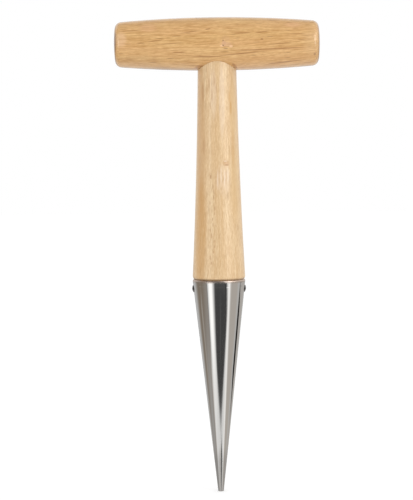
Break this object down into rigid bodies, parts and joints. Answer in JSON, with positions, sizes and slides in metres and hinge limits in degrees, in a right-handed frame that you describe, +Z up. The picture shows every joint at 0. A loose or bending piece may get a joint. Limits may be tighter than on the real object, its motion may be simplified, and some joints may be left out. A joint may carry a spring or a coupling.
{
  "type": "dibber",
  "caption": "Hand dibber with a turned wooden T grip, a flared wooden stem and a hollow polished steel cone for making planting holes.",
  "frame": {"origin": "middle of the blunt tip's flat end, on the stem's axis", "axes": "+Z up the stem from the tip to the crossbar, +X along the crossbar to the right in the picture, -Y towards the camera"},
  "size_m": [0.125, 0.0322, 0.2907],
  "materials": {
    "crossbar_wood": "satin",
    "stem_wood": "satin",
    "polished_steel": "polished",
    "nail_steel": "satin",
    "wood_filler": "matte"
  },
  "bodies": {
    "root": {"crossbar": "crossbar_wood", "stem": "stem_wood", "steel_cone": "polished_steel", "left_nail": "nail_steel", "right_nail": "nail_steel", "grip_pin": "nail_steel", "pin_filler": "wood_filler"}
  },
  "joints": []
}
